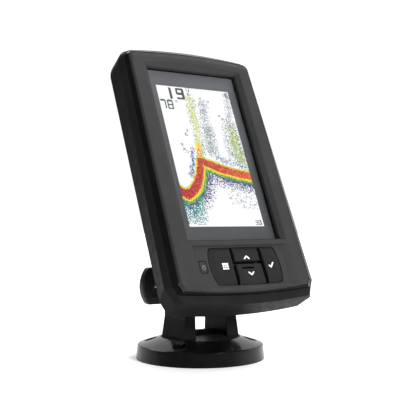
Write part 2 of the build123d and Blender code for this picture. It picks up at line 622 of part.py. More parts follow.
# ---------------------------------------------------------------- fork and base (world frame)
def make_fork():
    disc = cyl(FOOT_R, 9.6, FOOT_TOP)
    hub = cyl(HUB_R - 0.05, 3.3, 10.0)
    fork = disc + hub
    for sx in (-1, 1):
        profile = [(-CHEEK_DEEP, FOOT_TOP - 0.5), (CHEEK_DEEP, FOOT_TOP - 0.5),
                   (CHEEK_DEEP - 0.6, 25.0), (CHEEK_R - 0.1, AXIS_Z), (-CHEEK_R + 0.1, AXIS_Z),
                   (-CHEEK_DEEP + 0.6, 25.0)]
        face = make_face(Polyline(*[(sx * CHEEK_IN, y, z) for y, z in profile], close=True))
        cheek = extrude(face, amount=CHEEK_FOOT - CHEEK_IN, dir=(sx, 0, 0))
        cheek = cheek + rod_x(CHEEK_R, sx * CHEEK_IN, sx * CHEEK_OUT, 0, AXIS_Z)
        flare = [(CHEEK_FOOT + 0.01, 12.0), (CHEEK_FOOT, FOOT_TOP), (CHEEK_OUT, 25.0), (CHEEK_OUT, 60.0),
                 (30.0, 60.0), (30.0, 12.0)]
        cutter = make_face(Polyline(*[(sx * x, -20.0, z) for x, z in flare], close=True))
        cheek = cheek - extrude(cutter, amount=40.0, dir=(0, 1, 0))
        fork = fork + cheek - rod_x(STUD_R + 0.35, sx * 5, sx * 25, 0, AXIS_Z)
    web = block(-CHEEK_IN - 0.1, CHEEK_IN + 0.1, 3.0, 6.5, FOOT_TOP - 0.1, WEB_TOP)
    fork = fork + web
    return fork - cyl(3.2, 3.0, 11.0)


def make_fork_insert():
    return cyl(3.2, 3.4, 11.0) - cyl(2.0, 3.0, 10.2)


def make_swivel_washer():
    return cyl(11.0, 2.0, 3.2) - cyl(2.1, 1.0, 4.0)


def make_swivel_screw():
    head = cyl(3.6, 0.5, 1.98)
    head = head - extrude(RegularPolygon(1.6, 6).moved(Location((0, 0, 0.4))), amount=0.9,
                          dir=(0, 0, 1))
    return head + cyl(1.98, 1.9, 9.6)


def make_base():
    profile = [(0, 0), (BASE_R, 0), (BASE_SHOULDER_R + 0.35, BASE_SHOULDER_Z - 0.5),
               (BASE_SHOULDER_R - 0.3, BASE_SHOULDER_Z), (FOOT_R + 0.6, FOOT_TOP - 0.2),
               (FOOT_R + 0.4, FOOT_TOP - 0.35), (FOOT_R + 0.4, 9.2), (0, 9.2)]
    face = make_face(Polyline(*[(r, 0, z) for r, z in profile], close=True))
    base = revolve(face, Axis.Z, 360)
    under = cyl(36.6, -1.0, 5.6) - cyl(15.0, -2.0, 8.0)
    for x in (-DECK_X, DECK_X):
        for y in (-DECK_Y, DECK_Y):
            under = under - cyl(6.0, -2.0, 8.0, x, y)
    for turn in range(0, 180, 45):
        under = under - Rot(0, 0, turn + 11.0) * block(-40.0, 40.0, -0.8, 0.8, -2.0, 8.0)
    base = base - under
    base = base - cyl(12.0, -1.0, 3.6) - cyl(HUB_R, 3.0, 12.0)
    for x in (-DECK_X, DECK_X):
        for y in (-DECK_Y, DECK_Y):
            base = base - cyl(DECK_R, -1.0, 20.0, x, y) - cyl(DECK_BORE_R, DECK_BORE_Z, 20.0, x, y)
    return base


# ---------------------------------------------------------------- assembly
def build():
    put("rear_housing", make_rear_housing())
    put("front_bezel", make_front_bezel())
    put("trim_frame", make_trim_frame())
    put("perimeter_gasket", make_perimeter_gasket())
    put("lens_window", make_lens())
    put("lens_gasket", make_lens_gasket())
    put("lcd_panel", make_lcd_panel())
    put("lcd_backlight", make_lcd_backlight())
    put("lcd_frame", make_lcd_frame())
    put("lcd_flex", make_lcd_flex())
    for name in KEY_OUTLINES:
        put(name, key_cap(name))
    put("power_key", make_power_key())
    put("keypad_seal", make_keypad_seal())
    put("key_board", make_key_board())
    put("key_domes", make_key_domes())
    put("main_board", make_main_board())
    put("board_posts", make_board_posts())
    put("processor_shield", make_processor_shield())
    core, coil = make_transformer()
    put("transformer_core", core)
    put("transformer_coil", coil)
    put("storage_capacitors", make_capacitors())
    put("power_inductor", make_inductor())
    put("board_connectors", make_board_connectors())
    put("beeper", make_beeper())
    put("housing_screws", make_housing_screws())
    for name, x, count in (("power", SOCKET_X[0], 2), ("transducer", SOCKET_X[1], 4)):
        put(name + "_socket", make_socket(x))
        put(name + "_socket_seal", make_socket_seal(x))
        put(name + "_socket_nut", make_socket_nut(x))
        put(name + "_socket_pins", make_socket_pins(x, count))
    put("pivot_bracket", make_pivot_bracket())
    put("bracket_screws", make_bracket_screws())
    put("pivot_inserts", make_pivot_inserts())
    put("friction_discs", make_friction_discs())
    for side, sx in (("left", -1), ("right", 1)):
        put("tilt_knob_" + side, make_knob(sx), in_head=False)
        put("tilt_stud_" + side, make_stud(sx), in_head=False)
        put("knob_washer_" + side, make_knob_washer(sx), in_head=False)
    put("pivot_fork", make_fork(), in_head=False)
    put("fork_insert", make_fork_insert(), in_head=False)
    put("swivel_washer", make_swivel_washer(), in_head=False)
    put("swivel_screw", make_swivel_screw(), in_head=False)
    put("mounting_base", make_base(), in_head=False)


build()
os.makedirs("parts", exist_ok=True)
for name, shape in NODES.items():
    export_step(shape, os.path.join("parts", name + ".step"))
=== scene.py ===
"""Looks of the portrait fish finder: plastics, rubber, glass, the sonar picture and the key legends.

Outlines, heights and the picture are in millimetres of the head's own frame, and all else is in
metres. Head frame: x to the right, y up the face, z out of the face, z = 0 on the screen.
"""
import json
import math
import random

import bpy
from mathutils import Matrix, Vector


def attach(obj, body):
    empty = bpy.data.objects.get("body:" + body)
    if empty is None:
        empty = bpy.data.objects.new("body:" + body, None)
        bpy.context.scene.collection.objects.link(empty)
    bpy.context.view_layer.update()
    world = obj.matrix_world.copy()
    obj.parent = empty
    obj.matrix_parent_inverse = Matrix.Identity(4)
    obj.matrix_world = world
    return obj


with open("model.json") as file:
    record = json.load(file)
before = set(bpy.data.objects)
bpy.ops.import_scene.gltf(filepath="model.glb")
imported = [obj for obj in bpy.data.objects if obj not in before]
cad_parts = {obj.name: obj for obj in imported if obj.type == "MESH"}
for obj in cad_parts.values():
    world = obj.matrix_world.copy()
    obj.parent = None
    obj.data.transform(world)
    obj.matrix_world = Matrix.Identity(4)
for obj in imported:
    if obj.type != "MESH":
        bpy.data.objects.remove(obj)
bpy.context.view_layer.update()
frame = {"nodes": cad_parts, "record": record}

# ---------------------------------------------------------------- head frame
TILT = math.radians(24.2)
SCREEN_CENTRE_MM = (0.0, -10.4, 124.2)
HEAD = Matrix((
    (1, 0, 0, SCREEN_CENTRE_MM[0]),
    (0, math.sin(TILT), -math.cos(TILT), SCREEN_CENTRE_MM[1]),
    (0, math.cos(TILT), math.sin(TILT), SCREEN_CENTRE_MM[2]),
    (0, 0, 0, 1),
))
ACTIVE_MM = (26.93, 47.52)        # half the lit area of the screen


def head_point(x, y, z):
    """A point of the head frame in millimetres, as a point of the object's frame in metres."""
    return (HEAD @ Vector((x, y, z))) / 1000


# ---------------------------------------------------------------- camera
CAMERA_AT = Vector((-0.27581, -0.42156, 0.08625))
CAMERA_AIM = Vector((0.00733, 0.00019, 0.09092))
LENS_MM = 69.56


def add_camera():
    data = bpy.data.cameras.new("view")
    data.lens, data.sensor_width = LENS_MM, 36.0
    data.clip_start, data.clip_end = 0.01, 20.0
    camera = bpy.data.objects.new("view", data)
    bpy.context.scene.collection.objects.link(camera)
    camera.location = CAMERA_AT
    camera.rotation_euler = (CAMERA_AIM - CAMERA_AT).to_track_quat("-Z", "Y").to_euler()
    bpy.context.scene.camera = camera


# ---------------------------------------------------------------- node helpers
class Nodes:
    """A new material and short ways to add and link its nodes."""

    def __init__(self, name):
        self.material = bpy.data.materials.new(name)
        self.material.use_nodes = True
        self.tree = self.material.node_tree
        self.tree.nodes.clear()
        self.output = self.add("ShaderNodeOutputMaterial")

    def add(self, kind, **settings):
        node = self.tree.nodes.new(kind)
        for key, value in settings.items():
            setattr(node, key, value)
        return node

    def link(self, source, target):
        self.tree.links.new(source, target)

    def position(self):
        return self.add("ShaderNodeTexCoord").outputs["Object"]

    def noise(self, scale, detail=2.0, rough=0.5, where=None):
        node = self.add("ShaderNodeTexNoise")
        node.inputs["Scale"].default_value = scale
        node.inputs["Detail"].default_value = detail
        node.inputs["Roughness"].default_value = rough
        self.link(where or self.position(), node.inputs["Vector"])
        return node.outputs["Fac"]

    def ramp(self, value, stops):
        node = self.add("ShaderNodeValToRGB")
        ramp = node.color_ramp
        while len(ramp.elements) < len(stops):
            ramp.elements.new(0.5)
        for element, (at, colour) in zip(ramp.elements, stops):
            element.position = at
            element.color = (*colour, 1.0)
        self.link(value, node.inputs["Fac"])
        return node.outputs["Color"]

    def spread(self, value, low, high, start=0.3, end=0.7):
        """Map start to end onto low to high."""
        node = self.add("ShaderNodeMapRange")
        node.inputs["From Min"].default_value = start
        node.inputs["From Max"].default_value = end
        node.inputs["To Min"].default_value = low
        node.inputs["To Max"].default_value = high
        self.link(value, node.inputs["Value"])
        return node.outputs["Result"]

    def bump(self, height, strength, distance, normal=None):
        node = self.add("ShaderNodeBump")
        node.inputs["Strength"].default_value = strength
        node.inputs["Distance"].default_value = distance
        self.link(height, node.inputs["Height"])
        if normal:
            self.link(normal, node.inputs["Normal"])
        return node.outputs["Normal"]

    def rounded(self, radius):
        """Normal that looks rounded at edges."""
        node = self.add("ShaderNodeBevel", samples=4)
        node.inputs["Radius"].default_value = radius
        return node.outputs["Normal"]

    def principled(self):
        shader = self.add("ShaderNodeBsdfPrincipled")
        self.link(shader.outputs["BSDF"], self.output.inputs["Surface"])
        return shader


def shade(colour, factor):
    """The colour made darker, or paler for a factor above one."""
    return tuple(min(1.0, c * factor) for c in colour)


# ---------------------------------------------------------------- materials
def moulded(name, colour, rough, grain=3600.0, depth=0.00003, vary=0.18, coat=0.0, radius=0.0003,
            rough_vary=0.08, shine=0.25):
    """Moulded plastic or rubber: spark-eroded grain, faint flow marks and softened edges."""
    n = Nodes(name)
    shader = n.principled()
    flow = n.noise(scale=55.0, detail=4.0)
    n.link(n.ramp(flow, [(0.3, shade(colour, 1 - vary)), (0.7, shade(colour, 1 + vary))]),
           shader.inputs["Base Color"])
    wear = n.noise(scale=240.0, detail=3.0)
    n.link(n.spread(wear, rough - rough_vary, rough + rough_vary), shader.inputs["Roughness"])
    spark = n.noise(scale=grain, detail=2.0, rough=0.6)
    n.link(n.bump(spark, strength=0.35, distance=depth, normal=n.rounded(radius)),
           shader.inputs["Normal"])
    shader.inputs["Coat Weight"].default_value = coat
    shader.inputs["Coat Roughness"].default_value = 0.04
    shader.inputs["IOR"].default_value = 1.5
    shader.inputs["Specular IOR Level"].default_value = shine
    return n.material


METAL_EDGE = 0.0001               # radius that edges of metal look rounded to


def metal(name, colour, rough, brush=(40.0, 2600.0, 40.0)):
    """Sheet or turned metal: drawn scratches one way and slight blotches of tarnish."""
    n = Nodes(name)
    shader = n.principled()
    stretch = n.add("ShaderNodeMapping")
    stretch.inputs["Scale"].default_value = brush
    n.link(n.position(), stretch.inputs["Vector"])
    scratch = n.noise(scale=1.0, detail=3.0, rough=0.7, where=stretch.outputs["Vector"])
    tarnish = n.noise(scale=130.0, detail=3.0)
    n.link(n.ramp(tarnish, [(0.25, shade(colour, 0.78)), (0.7, colour)]), shader.inputs["Base Color"])
    shader.inputs["Metallic"].default_value = 1.0
    n.link(n.spread(scratch, rough - 0.08, rough + 0.12), shader.inputs["Roughness"])
    n.link(n.bump(scratch, strength=0.25, distance=0.00002, normal=n.rounded(METAL_EDGE)),
           shader.inputs["Normal"])
    return n.material


def circuit_board(name, colour):
    """Solder mask over rows of copper tracks."""
    n = Nodes(name)
    shader = n.principled()
    tracks = n.add("ShaderNodeTexBrick")
    tracks.offset = 0.37
    for socket, value in (("Scale", 210.0), ("Mortar Size", 0.06), ("Brick Width", 1.3),
                          ("Row Height", 0.3)):
        tracks.inputs[socket].default_value = value
    tracks.inputs["Color1"].default_value = (*colour, 1)
    tracks.inputs["Color2"].default_value = (*shade(colour, 0.8), 1)
    tracks.inputs["Mortar"].default_value = (*shade(colour, 1.9), 1)
    n.link(n.position(), tracks.inputs["Vector"])
    n.link(tracks.outputs["Color"], shader.inputs["Base Color"])
    n.link(n.spread(n.noise(500.0), 0.28, 0.42), shader.inputs["Roughness"])
    n.link(n.bump(tracks.outputs["Fac"], strength=0.3, distance=0.00003), shader.inputs["Normal"])
    return n.material


def winding(name, colour):
    """Enamelled copper wire, turn beside turn."""
    n = Nodes(name)
    shader = n.principled()
    wave = n.add("ShaderNodeTexWave", bands_direction="Z")
    wave.inputs["Scale"].default_value = 620.0
    wave.inputs["Distortion"].default_value = 0.4
    n.link(n.position(), wave.inputs["Vector"])
    n.link(n.ramp(wave.outputs["Fac"], [(0.1, shade(colour, 0.45)), (0.8, colour)]),
           shader.inputs["Base Color"])
    shader.inputs["Metallic"].default_value = 0.7
    shader.inputs["Roughness"].default_value = 0.32
    n.link(n.bump(wave.outputs["Fac"], strength=0.6, distance=0.0001), shader.inputs["Normal"])
    return n.material


def window_glass(name):
    """Clear lens: see-through, with a mirror sheen that grows at a glancing angle."""
    n = Nodes(name)
    clear = n.add("ShaderNodeBsdfTransparent")
    clear.inputs["Color"].default_value = (0.97, 0.975, 0.98, 1)
    sheen = n.add("ShaderNodeBsdfGlossy")
    sheen.inputs["Color"].default_value = (0.12, 0.12, 0.12, 1)
    sheen.inputs["Roughness"].default_value = 0.06
    edge = n.add("ShaderNodeFresnel")
    edge.inputs["IOR"].default_value = 1.12
    mix = n.add("ShaderNodeMixShader")
    n.link(edge.outputs["Fac"], mix.inputs["Fac"])
    n.link(clear.outputs["BSDF"], mix.inputs[1])
    n.link(sheen.outputs["BSDF"], mix.inputs[2])
    n.link(mix.outputs["Shader"], n.output.inputs["Surface"])
    return n.material


SHEEN_LOW, SHEEN_HIGH = 0.070, 0.176    # heights between which a painted sheen turns the printed border paler


def printed_border_and_sheen(name):
    """Grey ink behind the lens, with a painted sheen that turns it paler towards the top of the
    window.
    """
    n = Nodes(name)
    shader = n.principled()
    split = n.add("ShaderNodeSeparateXYZ")
    n.link(n.position(), split.inputs["Vector"])
    height = n.spread(split.outputs["Z"], 0.0, 1.0, start=SHEEN_LOW, end=SHEEN_HIGH)
    mottled_sheen = n.add("ShaderNodeMath", operation="MULTIPLY_ADD")
    n.link(n.noise(scale=900.0), mottled_sheen.inputs[0])
    mottled_sheen.inputs[1].default_value = 0.04
    n.link(height, mottled_sheen.inputs[2])
    # painted sheen: the grey ink runs paler with height, with a faint mottle over it
    n.link(n.ramp(mottled_sheen.outputs[0], [(0.0, (0.040, 0.040, 0.043)), (0.55, (0.055, 0.055, 0.059)),
                                       (1.0, (0.085, 0.085, 0.092))]), shader.inputs["Base Color"])
    n.link(n.spread(n.noise(300.0), 0.4, 0.5), shader.inputs["Roughness"])
    return n.material


PICTURE_LIGHT = 1.0


def lit_picture(name):
    """The screen's picture, held as one colour for each cell of the mesh, lit from behind."""
    n = Nodes(name)
    shader = n.principled()
    colour = n.add("ShaderNodeAttribute", attribute_name="picture")
    shader.inputs["Base Color"].default_value = (0.02, 0.02, 0.02, 1)
    n.link(colour.outputs["Color"], shader.inputs["Emission Color"])
    shader.inputs["Emission Strength"].default_value = PICTURE_LIGHT
    n.link(n.spread(n.noise(700.0), 0.15, 0.25), shader.inputs["Roughness"])
    return n.material


def ink(name, colour, rough=0.45, shine=0.5):
    """Printed legend with a slightly uneven coat; also laid on the down key as painted shade along its
    ridge.
    """
    n = Nodes(name)
    shader = n.principled()
    coat = n.noise(scale=1500.0, detail=3.0)
    n.link(n.ramp(coat, [(0.3, shade(colour, 0.9)), (0.65, colour)]), shader.inputs["Base Color"])
    n.link(n.spread(n.noise(900.0), rough - 0.06, rough + 0.06), shader.inputs["Roughness"])
    shader.inputs["Specular IOR Level"].default_value = shine
    return n.material


def backdrop(name):
    """White paper that glows a little, and more from half a metre outwards."""
    n = Nodes(name)
    shader = n.principled()
    n.link(n.ramp(n.noise(scale=3.0), [(0.3, (0.93, 0.93, 0.93)), (0.7, (0.95, 0.95, 0.95))]),
           shader.inputs["Base Color"])
    shader.inputs["Emission Color"].default_value = (1, 1, 1, 1)
    reach = n.add("ShaderNodeVectorMath", operation="LENGTH")
    n.link(n.position(), reach.inputs[0])
    n.link(n.spread(reach.outputs["Value"], 0.30, 1.1, start=0.5, end=1.6),
           shader.inputs["Emission Strength"])
    shader.inputs["Roughness"].default_value = 0.9
    shader.inputs["Specular IOR Level"].default_value = 0.1
    return n.material


def make_looks():
    """One material for each material slot of the record."""
    return {
        "housing": moulded("case_plastic", (0.009, 0.009, 0.0095), 0.52, shine=0.06),
        "bezel": moulded("face_plastic", (0.030, 0.030, 0.031), 0.56, grain=4200.0, vary=0.10,
                         shine=0.05),
        "gloss_trim": moulded("gloss_band", (0.004, 0.004, 0.0045), 0.12, depth=0.000004, coat=0.06,
                              rough_vary=0.03, shine=0.15),
        "base_gloss": moulded("gloss_base", (0.004, 0.004, 0.0045), 0.16, depth=0.000006, coat=0.08,
                              radius=0.0005, rough_vary=0.03, shine=0.14),
        "fork_plastic": moulded("fork_plastic", (0.006, 0.006, 0.0063), 0.42, radius=0.0005,
                                shine=0.05),
        "knob_plastic": moulded("knob_plastic", (0.010, 0.010, 0.0105), 0.40, radius=0.0005,
                                shine=0.22),
        "black_plastic": moulded("black_plastic", (0.012, 0.012, 0.013), 0.45),
        "white_plastic": moulded("white_plastic", (0.75, 0.75, 0.73), 0.5, shine=0.5),
        "key_rubber": moulded("key_rubber", (0.015, 0.015, 0.0155), 0.62, grain=5200.0, vary=0.12,
                              radius=0.00035, shine=0.05),
        "seal_rubber": moulded("seal_rubber", (0.018, 0.018, 0.018), 0.8, vary=0.15),
        "lens": window_glass("window_glass"),
        "screen_glass": moulded("panel_glass", (0.030, 0.032, 0.036), 0.16, depth=0.000002, coat=0.5),
        "sheet_steel": metal("sheet_steel", (0.60, 0.60, 0.58), 0.36),
        "screw_steel": metal("screw_steel", (0.62, 0.61, 0.60), 0.26, (900.0, 900.0, 60.0)),
        "flex_film": moulded("flex_film", (0.42, 0.21, 0.04), 0.3, vary=0.25),
        "circuit_board": circuit_board("circuit_board", (0.006, 0.015, 0.009)),
        "brass": metal("brass", (0.78, 0.57, 0.24), 0.3),
        "ferrite": moulded("ferrite", (0.045, 0.043, 0.042), 0.7, grain=2600.0, depth=0.00006),
        "copper": winding("copper_winding", (0.80, 0.34, 0.16)),
        "can_sleeve": moulded("can_sleeve", (0.03, 0.045, 0.10), 0.35),
    }


FACE_COLOURED = ("power_key",)    # rubber moulded in the colour of the face round it


def dress_cad(looks):
    """Give each CAD node the look of its slot in the record."""
    slots = {p["node"]: p["material_slot"] for p in frame["record"]["subparts"]}
    for name, obj in frame["nodes"].items():
        look = looks["bezel"] if name in FACE_COLOURED else looks[slots[name]]
        for i in range(len(obj.data.materials)):
            obj.data.materials[i] = look
        if not obj.data.materials:
            obj.data.materials.append(look)


# ---------------------------------------------------------------- mesh helpers
def mesh_piece(name, vertices, faces, material, body):
    """A mesh in the head frame that rides on a body."""
    mesh = bpy.data.meshes.new(name)
    mesh.from_pydata([head_point(*v) for v in vertices], [], faces)
    mesh.update()
    mesh.materials.append(material)
    piece = bpy.data.objects.new(name, mesh)
    bpy.context.scene.collection.objects.link(piece)
    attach(piece, body)
    return piece


def slab(outlines, bottom, top):
    """Vertices and faces of thin plates. Each outline runs counterclockwise, in millimetres, and
    bottom and top give z at (x, y)."""
    vertices, faces = [], []
    for outline in outlines:
        first, count = len(vertices), len(outline)
        vertices += [(x, y, bottom(x, y)) for x, y in outline]
        vertices += [(x, y, top(x, y)) for x, y in outline]
        faces.append([first + i for i in reversed(range(count))])
        faces.append([first + count + i for i in range(count)])
        for i in range(count):
            j = (i + 1) % count
            faces.append([first + i, first + j, first + count + j, first + count + i])
    return vertices, faces


STROKE_END = 0.35                 # how far a stroke runs past its ends, as a share of its width


def stroke(points, width):
    """Quads along a polyline, with square ends."""
    quads = []
    for (x0, y0), (x1, y1) in zip(points, points[1:]):
        length = math.hypot(x1 - x0, y1 - y0)
        ux, uy = (x1 - x0) / length, (y1 - y0) / length
        nx, ny, e = -uy * width / 2, ux * width / 2, width * STROKE_END
        a, b = (x0 - ux * e, y0 - uy * e), (x1 + ux * e, y1 + uy * e)
        quads.append([(a[0] - nx, a[1] - ny), (b[0] - nx, b[1] - ny),
                      (b[0] + nx, b[1] + ny), (a[0] + nx, a[1] + ny)])
    return quads


def rectangle(x0, x1, y0, y1):
    return [(x0, y0), (x1, y0), (x1, y1), (x0, y1)]


# ---------------------------------------------------------------- sonar picture
# the sea bed as a line, and how thick its red core is at each point, millimetres
BED = [(-29, -22, 1.6), (-26, -25.5, 2.6), (-22.5, -27, 3.2), (-18, -24, 3.1), (-14.3, -20, 3.0),
       (-11, -14, 2.7), (-9, -8, 2.3), (-8, -3.5, 2.0), (-6.8, -4.5, 2.3), (-4, -5.4, 2.6),
       (4.2, -8.4, 3.0), (11, -10.4, 2.5), (18, -12.0, 2.7), (24, -12.9, 2.7), (30, -13.7, 2.6)]
CORE_ABOVE, CORE_BELOW = 0.82, 0.9    # shares of that thickness above and below the line
CORE_LEFT, CORE_FADE = 27, 0.012      # the core is red at its left end, then more and more orange
RAGGED = 0.35                         # how far the edges of the bands waver
# clouds of bait and weed: centre line from the top down, half width, share of cells, colours
CLOUDS = [
    ([(-4.6, 40), (-5.2, 27), (-5.0, 14), (-6.0, 4), (-7.2, -2)], 2.8, 0.74, "lime"),
    ([(-1.8, 38), (-2.2, 24), (-1.6, 12)], 1.8, 0.24, "slate"),
    ([(4.6, 36), (3.2, 25), (3.4, 12), (3.0, 2)], 3.0, 0.56, "slate"),
    ([(3.6, 18), (3.2, 10), (2.6, 3)], 3.8, 0.72, "moss"),
    ([(25.0, 44), (23.4, 32), (21.5, 22)], 2.4, 0.50, "slate"),
    ([(21.6, 20), (20.5, 10), (21.0, 2), (25.5, -3)], 5.4, 0.72, "moss"),
    ([(23.6, 14), (23.4, 4), (25.0, -1)], 3.2, 0.80, "lime"),
    ([(4, 0), (9, -3.5), (16, -5), (26, -7)], 1.9, 0.55, "navy"),
    ([(-11.5, 4), (-13.5, -6), (-17, -14)], 1.6, 0.66, "navy"),
]
CLOUD_REACH = 1.4                     # half widths at which a cloud ends
# each digit's left, bottom, width, height, half stroke and tone
READINGS = [("1", -21.2, 39.0, 3.6, 7.0, 0.78, 0.26), ("9", -12.8, 39.2, 4.3, 6.8, 0.72, 0.26),
            ("7", -26.0, 31.6, 3.0, 5.4, 0.5, 0.30), ("8", -21.0, 31.4, 2.9, 5.6, 0.5, 0.30),
            ("0", 24.2, 43.2, 1.5, 2.8, 0.3, 0.30), ("3", 21.2, -46.4, 1.5, 2.8, 0.3, 0.30),
            ("0", 23.7, -46.4, 1.5, 2.8, 0.3, 0.30)]
# foot marks and degree mark
TICKS = [((-5.0, 47.2), (-5.2, 45.0)), ((-3.4, 47.0), (-3.6, 44.8)), ((-14.9, 37.4), (-14.0, 37.4)),
         ((-14.9, 36.4), (-14.0, 36.4))]
TICK_HALF, TICK_TONE = 0.3, 0.35
# small dark echoes, and the half size of the patch that each scatters in
FISH = [(-12.0, 16.3), (-13.2, 13.6), (-18.4, 6.4), (-17.2, 3.2), (-16.0, 1.8), (15.2, 28.6),
        (17.0, 26.2), (4.0, 40.6), (5.2, 37.6), (9.0, 38.6), (-2.5, 38.0), (-1.5, 36.0), (19.0, 22.0)]
FISH_HALF = (1.1, 1.0)
# orange column over the bed's peak
PEAK_X, PEAK_HALF, PEAK_TOP = -7.2, 1.7, 8
# teal patch under the bed at the left
PATCH_RIGHT, PATCH_LOW = -12, -46
SEVEN = {"0": "abcdef", "1": "bc", "3": "abgcd", "7": "abc", "8": "abcdefg", "9": "abfgcd"}
BARS = {"a": ((0, 2), (1, 2)), "b": ((1, 2), (1, 1)), "c": ((1, 1), (1, 0)), "d": ((0, 0), (1, 0)),
        "e": ((0, 0), (0, 1)), "f": ((0, 1), (0, 2)), "g": ((0, 1), (1, 1))}
CELLS = (120, 212)
PICTURE_Z = 0.06
SEED = 11
TONE_POWER = 2.2                      # turns a displayed tone into light
WHITE = (1.0, 1.0, 1.0)
RED, ORANGE, YELLOW = (0.44, 0.004, 0.004), (0.86, 0.16, 0.01), (0.95, 0.76, 0.03)
GREEN, TEAL, NAVY = (0.05, 0.34, 0.04), (0.03, 0.22, 0.22), (0.02, 0.02, 0.16)
PALE_GREEN, PALE_TEAL, VIOLET = shade(GREEN, 2.2), (0.10, 0.40, 0.42), (0.14, 0.11, 0.30)
DARK_MARK, GREY_MARK = shade(WHITE, 0.06), shade(WHITE, 0.35)
# bands beyond the core: outer edge, colour, its share of cells and the other cells' colour
ABOVE_BANDS = ((0.8, ORANGE, 0.4, YELLOW), (1.3, YELLOW, 0.5, PALE_GREEN))
BELOW_BANDS = ((0.55, ORANGE, 1.0, ORANGE), (1.6, YELLOW, 1.0, YELLOW), (3.0, GREEN, 0.85, YELLOW))
LAST_BAND = 4.0
# cloud colours from the centre line outwards
PALETTES = {
    "lime": ((0.60, 0.66, 0.10), (0.72, 0.74, 0.22), (0.33, 0.45, 0.12), (0.25, 0.30, 0.22)),
    "moss": ((0.30, 0.42, 0.12), (0.42, 0.52, 0.16), (0.16, 0.30, 0.18), (0.20, 0.22, 0.36)),
    "slate": ((0.22, 0.24, 0.36), (0.36, 0.40, 0.48), (0.28, 0.36, 0.28), (0.13, 0.13, 0.26)),
    "navy": ((0.05, 0.08, 0.30), (0.10, 0.12, 0.40), (0.07, 0.24, 0.26), (0.20, 0.12, 0.34)),
}


def to_segment(x, y, a, b):
    """Distance from (x, y) to the segment from a to b."""
    dx, dy = b[0] - a[0], b[1] - a[1]
    t = max(0.0, min(1.0, ((x - a[0]) * dx + (y - a[1]) * dy) / (dx * dx + dy * dy)))
    return math.hypot(x - a[0] - t * dx, y - a[1] - t * dy)


def bed_at(x, y):
    """Signed distance from the sea bed's line, positive above it, and the core's thickness there."""
    best = (1e9, 0.0)
    for (x0, y0, w0), (x1, y1, w1) in zip(BED, BED[1:]):
        gap = to_segment(x, y, (x0, y0), (x1, y1))
        if gap < best[0]:
            best = (gap, w0 + (w1 - w0) * max(0.0, min(1.0, (x - x0) / (x1 - x0))))
        if x0 <= x < x1:
            level = y0 + (y1 - y0) * (x - x0) / (x1 - x0)
    return (best[0] if y > level else -best[0]), best[1]


def reading_bars():
    """Ends, half stroke and tone of every mark and of every bar of the digits."""
    bars = [(a, b, TICK_HALF, TICK_TONE) for a, b in TICKS]
    for digit, left, bottom, width, height, line, tone in READINGS:
        for bar in SEVEN[digit]:
            a, b = [(left + u * width, bottom + v * height / 2) for u, v in BARS[bar]]
            bars.append((a, b, line, tone))
    return bars


def core_colour(x, chance):
    return RED if chance.random() < 1.0 - CORE_FADE * (x + CORE_LEFT) else ORANGE


def band_colour(beyond, edge, bands, dice):
    """Colour of the band that lies this far from the line, or None past the last one."""
    for width, colour, share, other in bands:
        if beyond < edge + width:
            return colour if dice < share else other
    return None


def cloud_colour(x, y, dice, chance):
    """Colour of the first cloud that has an echo in this cell, or None."""
    for line, half, share, palette in CLOUDS:
        near = min(to_segment(x, y, a, b) for a, b in zip(line, line[1:])) / half
        if near < CLOUD_REACH and dice < share * (1.15 - near / CLOUD_REACH):
            return PALETTES[palette][min(3, int(near * 2.4 + chance.random() * 1.6))]
    return None


def above_bed(x, y, height, core, dice, chance):
    edge = core * CORE_ABOVE
    if height < edge:
        return core_colour(x, chance)
    colour = band_colour(height, edge, ABOVE_BANDS, dice)
    if colour:
        return colour
    if abs(x - PEAK_X) < PEAK_HALF and y < PEAK_TOP:
        return ORANGE if dice < 0.75 - 0.09 * y else (YELLOW if dice < 0.9 else WHITE)
    colour = cloud_colour(x, y, dice, chance)
    if colour:
        return colour
    for fish_x, fish_y in FISH:
        if abs(x - fish_x) < FISH_HALF[0] and abs(y - fish_y) < FISH_HALF[1] and dice < 0.5:
            return DARK_MARK if dice < 0.25 else GREY_MARK
    return WHITE


def below_bed(x, y, depth, core, dice, chance):
    edge = core * CORE_BELOW
    if depth < edge:
        return core_colour(x, chance)
    colour = band_colour(depth, edge, BELOW_BANDS, dice)
    if colour:
        return colour
    if depth < edge + LAST_BAND:
        return TEAL if dice < 0.55 else (GREEN if dice < 0.75 else NAVY)
    deep = depth - edge - LAST_BAND
    if x < PATCH_RIGHT and y > PATCH_LOW:
        if dice < 0.94 - 0.045 * deep - 0.045 * max(0.0, x + 18):
            return TEAL if dice < 0.5 else (PALE_TEAL if dice < 0.66 else NAVY)
        return WHITE
    reach = 7.5 if x > 5 else 9.0
    stray = 0.11 if x > 6 and deep < 17 else 0.0
    if dice < 0.85 * max(0.0, 1 - deep / reach) ** 1.3 + stray:
        return NAVY if dice < 0.36 else VIOLET
    return WHITE


def echo_colour(x, y, chance):
    """Colour of one cell: the bed's core and its bands, scatter below it and clouds above."""
    gap, core = bed_at(x, y)
    dice, ragged = chance.random(), chance.uniform(-RAGGED, RAGGED)
    if gap > 0:
        return above_bed(x, y, gap + ragged, core, dice, chance)
    return below_bed(x, y, -gap + ragged, core, dice, chance)


